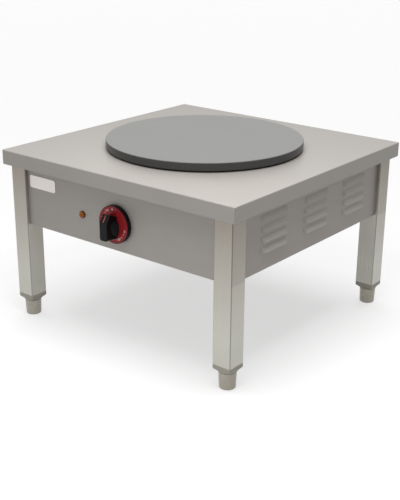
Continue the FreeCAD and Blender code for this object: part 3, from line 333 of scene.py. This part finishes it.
def louvred_steel():
    """The side panels' steel, with a painted highlight that grows with the distance a louvre stands out of
    the sheet.
    """
    material = brushed_steel("side_panel_steel", panel_colour, "Y", panel_roughness)
    tree = material.node_tree
    shader = tree.nodes["Principled BSDF"]
    plain = shader.inputs["Base Color"].links[0].from_socket
    place = add_node(tree, "ShaderNodeTexCoord").outputs["Object"]
    outwards = size_of(tree, add_node(tree, "ShaderNodeSeparateXYZ", Vector=place).outputs["X"])
    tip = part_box("right_panel")[1][0]
    # Painted highlight: the colour is lightened where a louvre stands out of the sheet.
    louvre_highlight_mask = spread(tree, outwards, 1.0, louvre_painted_highlight, tip - louvre_reach, tip)
    tree.links.new(shaded(tree, plain, louvre_highlight_mask), shader.inputs["Base Color"])
    return material


dress(louvred_steel(), "left_panel", "right_panel")
dress(brushed_steel("cover_steel", panel_colour, "X", panel_roughness), "bottom_cover")

# Legs: square stainless tube, brighter than the sheet, with the rolling lines along its length.
# Each stands in a corner of the housing. Painted shade darkens and warms the tube towards the top,
# darkens its outer side above the housing's lower edge, and darkens its rounded corners.
leg_colour = (0.555, 0.545, 0.490)
# Painted shade: the upper tint, the outer-side level and the corner level darken the tube's colour.
leg_upper_painted_shade = (0.60, 0.54, 0.51)
leg_roughness = 0.28
leg_outer_painted_shade = 0.86
leg_corner_painted_shade = 0.50
leg_metallic = 0.6
leg_hairline_depth = 0.000003
leg_hairline_shade = 0.02
leg_hairline_gloss = 0.015


def product(tree, first, second):
    """The product of two values."""
    return add_node(tree, "ShaderNodeMath", {"operation": "MULTIPLY"}, _0=first, _1=second).outputs[0]


def leg_steel():
    """Brushed along Z. Painted shade darkens and warms the tube towards the top, darkens its outer
    side further above the housing's lower edge, and darkens its rounded corners into dark lines."""
    material = brushed_steel("leg_tube", leg_colour, "Z", leg_roughness, leg_hairline_shade, leg_metallic,
                             leg_hairline_depth, leg_hairline_gloss)
    tree = material.node_tree
    shader = tree.nodes["Principled BSDF"]
    bright = shader.inputs["Base Color"].links[0].from_socket
    coordinates = add_node(tree, "ShaderNodeTexCoord").outputs
    height = add_node(tree, "ShaderNodeSeparateXYZ", Vector=coordinates["Object"]).outputs["Z"]
    facing = add_node(tree, "ShaderNodeSeparateXYZ", Vector=coordinates["Normal"]).outputs
    sideways = size_of(tree, facing["X"])
    housing_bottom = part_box("right_panel")[0][2]
    table_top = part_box("top_sheet")[1][2]
    # Painted shade masks: towards the top, on the outer side above the housing's lower edge, and on the
    # rounded corners.
    upper_shade_mask = spread(tree, height, 0.0, 1.0, housing_bottom / 2, table_top)
    above = spread(tree, height, 0.0, 1.0, housing_bottom - 0.001, housing_bottom + 0.001)
    outer_shade_mask = product(tree, above, spread(tree, sideways, 0.0, 1.0, 0.5, 0.9))
    corner = product(tree, sideways, size_of(tree, facing["Y"]))
    upper_shade_tint = add_node(tree, "ShaderNodeMix", {"data_type": "RGBA"}, _0=upper_shade_mask, _6=(1, 1, 1, 1),
                    _7=(*leg_upper_painted_shade, 1)).outputs[2]
    tinted = add_node(tree, "ShaderNodeVectorMath", {"operation": "MULTIPLY"}, _0=bright, _1=upper_shade_tint).outputs[0]
    level = product(tree, spread(tree, outer_shade_mask, 1.0, leg_outer_painted_shade, 0.0, 1.0),
                    spread(tree, corner, 1.0, leg_corner_painted_shade, 0.15, 0.40))
    tree.links.new(shaded(tree, tinted, level), shader.inputs["Base Color"])
    return material


dress(leg_steel(), *[name for name in nodes if name.startswith("leg_") and "insert" not in name])

# Inserts and screw feet: warm grey moulded plastic with a fine matt grain. The inserts are
# pressed into the tubes, and the feet screw into them.
foot_colour = (0.50, 0.465, 0.39)
insert_colour = (0.44, 0.41, 0.35)
cloud_size = 0.02


def moulded(name, colour, roughness, grain=0.0006, depth=0.00005, contrast=0.12, metallic=0.0,
            specular=0.5):
    """Fine grain roughens the surface; broad clouds shift the colour and the gloss."""
    material, tree, shader = shader_material(name, metallic, specular)
    fine = noise(tree, [grain] * 3, 2.0)
    broad = noise(tree, [cloud_size] * 3, 4.0)
    tree.links.new(shaded(tree, colour, spread(tree, broad, 1 - contrast / 2, 1 + contrast / 2)),
                   shader.inputs["Base Color"])
    gloss = total(tree, spread(tree, broad, -0.05, 0.05),
                  spread(tree, fine, roughness - 0.05, roughness + 0.05))
    tree.links.new(gloss, shader.inputs["Roughness"])
    tree.links.new(raised(tree, fine, depth, 0.5), shader.inputs["Normal"])
    return material


dress(moulded("foot_plastic", foot_colour, 0.30, metallic=0.3),
      *[name for name in nodes if name.startswith("foot_")])
dress(moulded("insert_plastic", insert_colour, 0.42), *[name for name in nodes if "insert_" in name])

# Control knob: one black moulding with a satin skin, on a brass bush. A red printed ring is
# sunk in its face, and a red line on the sloping nose points at the setting.
knob_black = (0.003, 0.003, 0.0035)
dial_red = (0.27, 0.010, 0.015)
pointer_red = (0.30, 0.05, 0.05)

dress(moulded("knob_plastic", knob_black, 0.34, contrast=0.3, specular=0.15), "knob_body")
dress(moulded("dial_print", dial_red, 0.40, contrast=0.06, specular=0.3), "knob_dial")
dress(moulded("pointer_print", pointer_red, 0.40, contrast=0.06), "knob_pointer")

# Dial marks: pale figures and dots printed on the ring, one dot at rest and a scale of heat
# from there on, growing clockwise. They stand a hair above the red so that they print clean.
mark_colour = (0.88, 0.66, 0.62)
mark_height = 0.0001
mark_text_size = 0.0058
mark_circle = 0.0290
rest_dot = 0.0016
rest_dot_angle = -3.6
rest_dot_outset = 0.001
scale_dot = 0.0009
dot_sides = 20
first_figure = 104.0
mark_step = 15.0
marks_per_figure = 3
figures = ["50", "100", "150", "200", "250", "300"]


def dot_points(radius, angle, size, face, centre):
    """A small round disc on the dial: a circle of points about a place at an angle and a radius."""
    around = np.linspace(0, 2 * math.pi, dot_sides, endpoint=False)
    x = centre[0] + radius * math.sin(angle) + size * np.cos(around)
    z = centre[2] + radius * math.cos(angle) + size * np.sin(around)
    ring = np.stack([x, np.full(dot_sides, face), z], 1)
    return np.concatenate([ring, ring - (0, mark_height, 0)])


def figure_points(text, radius, angle, face, centre):
    """A printed figure: flat letters stood up on the dial, their heads turned outwards."""
    curve = bpy.data.curves.new("figure", "FONT")
    curve.body = text
    curve.size = mark_text_size
    curve.align_x = "CENTER"
    curve.align_y = "CENTER"
    curve.extrude = mark_height / 2
    shown = bpy.data.objects.new("figure", curve)
    mesh = bpy.data.meshes.new_from_object(shown)
    flat = np.empty(len(mesh.vertices) * 3)
    mesh.vertices.foreach_get("co", flat)
    flat = flat.reshape(-1, 3)
    across = flat[:, 0]
    out = flat[:, 1] + radius
    x = centre[0] + across * math.cos(angle) + out * math.sin(angle)
    z = centre[2] - across * math.sin(angle) + out * math.cos(angle)
    points = np.stack([x, face - mark_height / 2 - flat[:, 2], z], 1)
    faces = [tuple(polygon.vertices) for polygon in mesh.polygons]
    bpy.data.objects.remove(shown)
    bpy.data.curves.remove(curve)
    bpy.data.meshes.remove(mesh)
    return points, faces


def disc_faces(sides):
    """Two caps and a wall between two rings of points."""
    wall = [(k, (k + 1) % sides, sides + (k + 1) % sides, sides + k) for k in range(sides)]
    return wall + [tuple(range(sides))[::-1], tuple(range(sides, 2 * sides))]


def surface(name, points, faces, material, smooth=True):
    """A mesh object at the origin from points and faces, with one material."""
    mesh = bpy.data.meshes.new(name)
    mesh.from_pydata(points.tolist(), [], faces)
    mesh.materials.append(material)
    mesh.polygons.foreach_set("use_smooth", [smooth] * len(mesh.polygons))
    piece = bpy.data.objects.new(name, mesh)
    bpy.context.scene.collection.objects.link(piece)
    return piece


def dial_marks():
    """Figures at every third step of the scale, dots between them, and one larger dot at rest."""
    low, high = (np.array(corner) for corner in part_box("knob_dial"))
    centre = (low + high) / 2
    face = low[1]
    parts = []
    for k in range((len(figures) - 1) * marks_per_figure + 1):
        angle = math.radians(first_figure + k * mark_step)
        if k % marks_per_figure == 0:
            parts.append(figure_points(figures[k // marks_per_figure], mark_circle, angle, face, centre))
        else:
            parts.append((dot_points(mark_circle, angle, scale_dot, face, centre), disc_faces(dot_sides)))
    rest = dot_points(mark_circle + rest_dot_outset, math.radians(rest_dot_angle), rest_dot, face, centre)
    parts.append((rest, disc_faces(dot_sides)))
    points = []
    faces = []
    for own_points, own_faces in parts:
        start = sum(len(block) for block in points)
        points.append(own_points)
        faces += [tuple(index + start for index in polygon) for polygon in own_faces]
    material = moulded("mark_print", mark_colour, 0.45, contrast=0.08)
    piece = surface("dial_marks", np.concatenate(points), faces, material, smooth=False)
    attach(piece, "knob")


dial_marks()

# Pilot lamp: an amber moulded lens with fine flutes round its side, in a dark brown bezel.
# The body passes through the front panel and a nut holds it from behind.
lens_amber = (0.32, 0.090, 0.005)
bezel_brown = (0.060, 0.024, 0.007)
lens_flutes = 28
lens_flute_depth = 0.00025
lens_swell = 1.08
lens_rows = 24
lens_points_per_flute = 8
lens_side_fullness = 0.7
lens_crown_fullness = 0.8
lens_cloud_size = 0.004


def lens_surface():
    """A domed cap: the radius follows a quarter oval along its reach, and cosine flutes fade inwards."""
    low, high = (np.array(corner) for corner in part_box("lamp_lens"))
    centre = (low + high) / 2
    radius = lens_swell * (high[0] - low[0]) / 2
    reach = high[1] - low[1]
    around = lens_flutes * lens_points_per_flute
    step = np.linspace(0, 1, lens_rows)[:, None]
    turn = np.linspace(0, 2 * math.pi, around, endpoint=False)[None, :]
    out = np.sin(step * math.pi / 2) ** lens_side_fullness
    r = radius * out - lens_flute_depth * (0.5 - 0.5 * np.cos(turn * lens_flutes)) * out ** 4
    y = high[1] - reach * np.cos(step * math.pi / 2) ** lens_crown_fullness + 0 * turn
    x = centre[0] + r * np.cos(turn)
    z = centre[2] + r * np.sin(turn)
    grid = np.stack([x, y, z], 2).reshape(-1, 3)
    faces = []
    for row in range(1, lens_rows - 1):
        a = row * around
        b = a + around
        faces += [(a + k, a + (k + 1) % around, b + (k + 1) % around, b + k) for k in range(around)]
    keep = grid[around:]
    faces = [tuple(index - around for index in face) for face in faces]
    faces.append(tuple(range(around))[::-1])
    last = (lens_rows - 2) * around
    faces.append(tuple(range(last, last + around)))
    return keep, faces


def amber_lens():
    """A glossy amber moulding, a little cloudy."""
    material, tree, shader = shader_material("amber_lens", 0.0, specular=0.2)
    clouds = noise(tree, [lens_cloud_size] * 3, 2.0)
    tree.links.new(shaded(tree, lens_amber, spread(tree, clouds, 0.85, 1.15)), shader.inputs["Base Color"])
    tree.links.new(spread(tree, clouds, 0.18, 0.26), shader.inputs["Roughness"])
    points, faces = lens_surface()
    piece = surface("fluted_lens", points, faces, material)
    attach(piece, "housing")
    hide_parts("lamp_lens")


amber_lens()
dress(moulded("bezel_plastic", bezel_brown, 0.35), "lamp_body")

# Name plate: a thin off-white plate of printed aluminium, glued to the front panel. Nothing
# is printed on it here.
plate_white = (0.82, 0.78, 0.73)

dress(moulded("blank_plate", plate_white, 0.40, contrast=0.05, metallic=0.6), "label_plate")

# Mains gland: black moulded nuts round a rubber sleeve, screwed through the rear panel. The
# dome nut squeezes the sleeve on to the mains lead.
gland_black = (0.020, 0.020, 0.022)
rubber_black = (0.012, 0.012, 0.012)

dress(moulded("gland_moulding", gland_black, 0.42), "gland_body", "gland_dome_nut", "gland_locknut")
dress(moulded("gland_rubber", rubber_black, 0.65, 0.0004), "gland_seal")

# Screws, nuts and other small plated steel, with the heater's plain sheet parts. The plating
# is bright and a little brushed.
plated_colour = (0.55, 0.55, 0.53)

dress(brushed_steel("plated_steel", plated_colour, "Z", roughness=0.32, contrast=0.08, metallic=0.85),
      "plate_studs", "plate_nuts", "bulb_clip", "bulb_clip_screws", "panel_screws",
      "bottom_cover_screws", "thermostat_screws", "terminal_block_screws", "lamp_nut", "thermostat_shaft",
      "heater_tray", "element_clamp_plate")

# Inside the housing: heat-stained element, ceramic, fibre board, brass, copper and sleeved
# leads. Each finish gives its colour, roughness, metal share and the nodes that have it.
inner_finishes = {
    "sheath_stain": ((0.20, 0.17, 0.14), 0.45, 0.7, ["heating_element", "thermostat_bulb"]),
    "steatite": ((0.78, 0.75, 0.68), 0.55, 0.0, ["element_terminals", "terminal_block"]),
    "fibre_board": ((0.82, 0.80, 0.74), 0.85, 0.0, ["insulation_disc"]),
    "glass_tape": ((0.05, 0.05, 0.05), 0.80, 0.0, ["plate_gasket"]),
    "case_plastic": ((0.04, 0.04, 0.04), 0.45, 0.0, ["thermostat_body"]),
    "copper_tube": ((0.72, 0.40, 0.25), 0.30, 0.95, ["thermostat_capillary"]),
    "turned_brass": ((0.70, 0.52, 0.24), 0.32, 0.95, ["knob_bush", "terminal_barrels", "earth_stud",
                                                     "earth_nuts"]),
    "brown_sleeve": ((0.16, 0.06, 0.03), 0.60, 0.0, ["line_wire", "switched_wire"]),
    "blue_sleeve": ((0.03, 0.10, 0.34), 0.60, 0.0, ["neutral_wire"]),
    "green_sleeve": ((0.12, 0.34, 0.05), 0.60, 0.0, ["earth_wire"]),
    "white_sleeve": ((0.65, 0.64, 0.60), 0.60, 0.0, ["lamp_wires"]),
}
for finish, (colour, roughness, metallic, names) in inner_finishes.items():
    dress(moulded(finish, colour, roughness, metallic=metallic), *names)
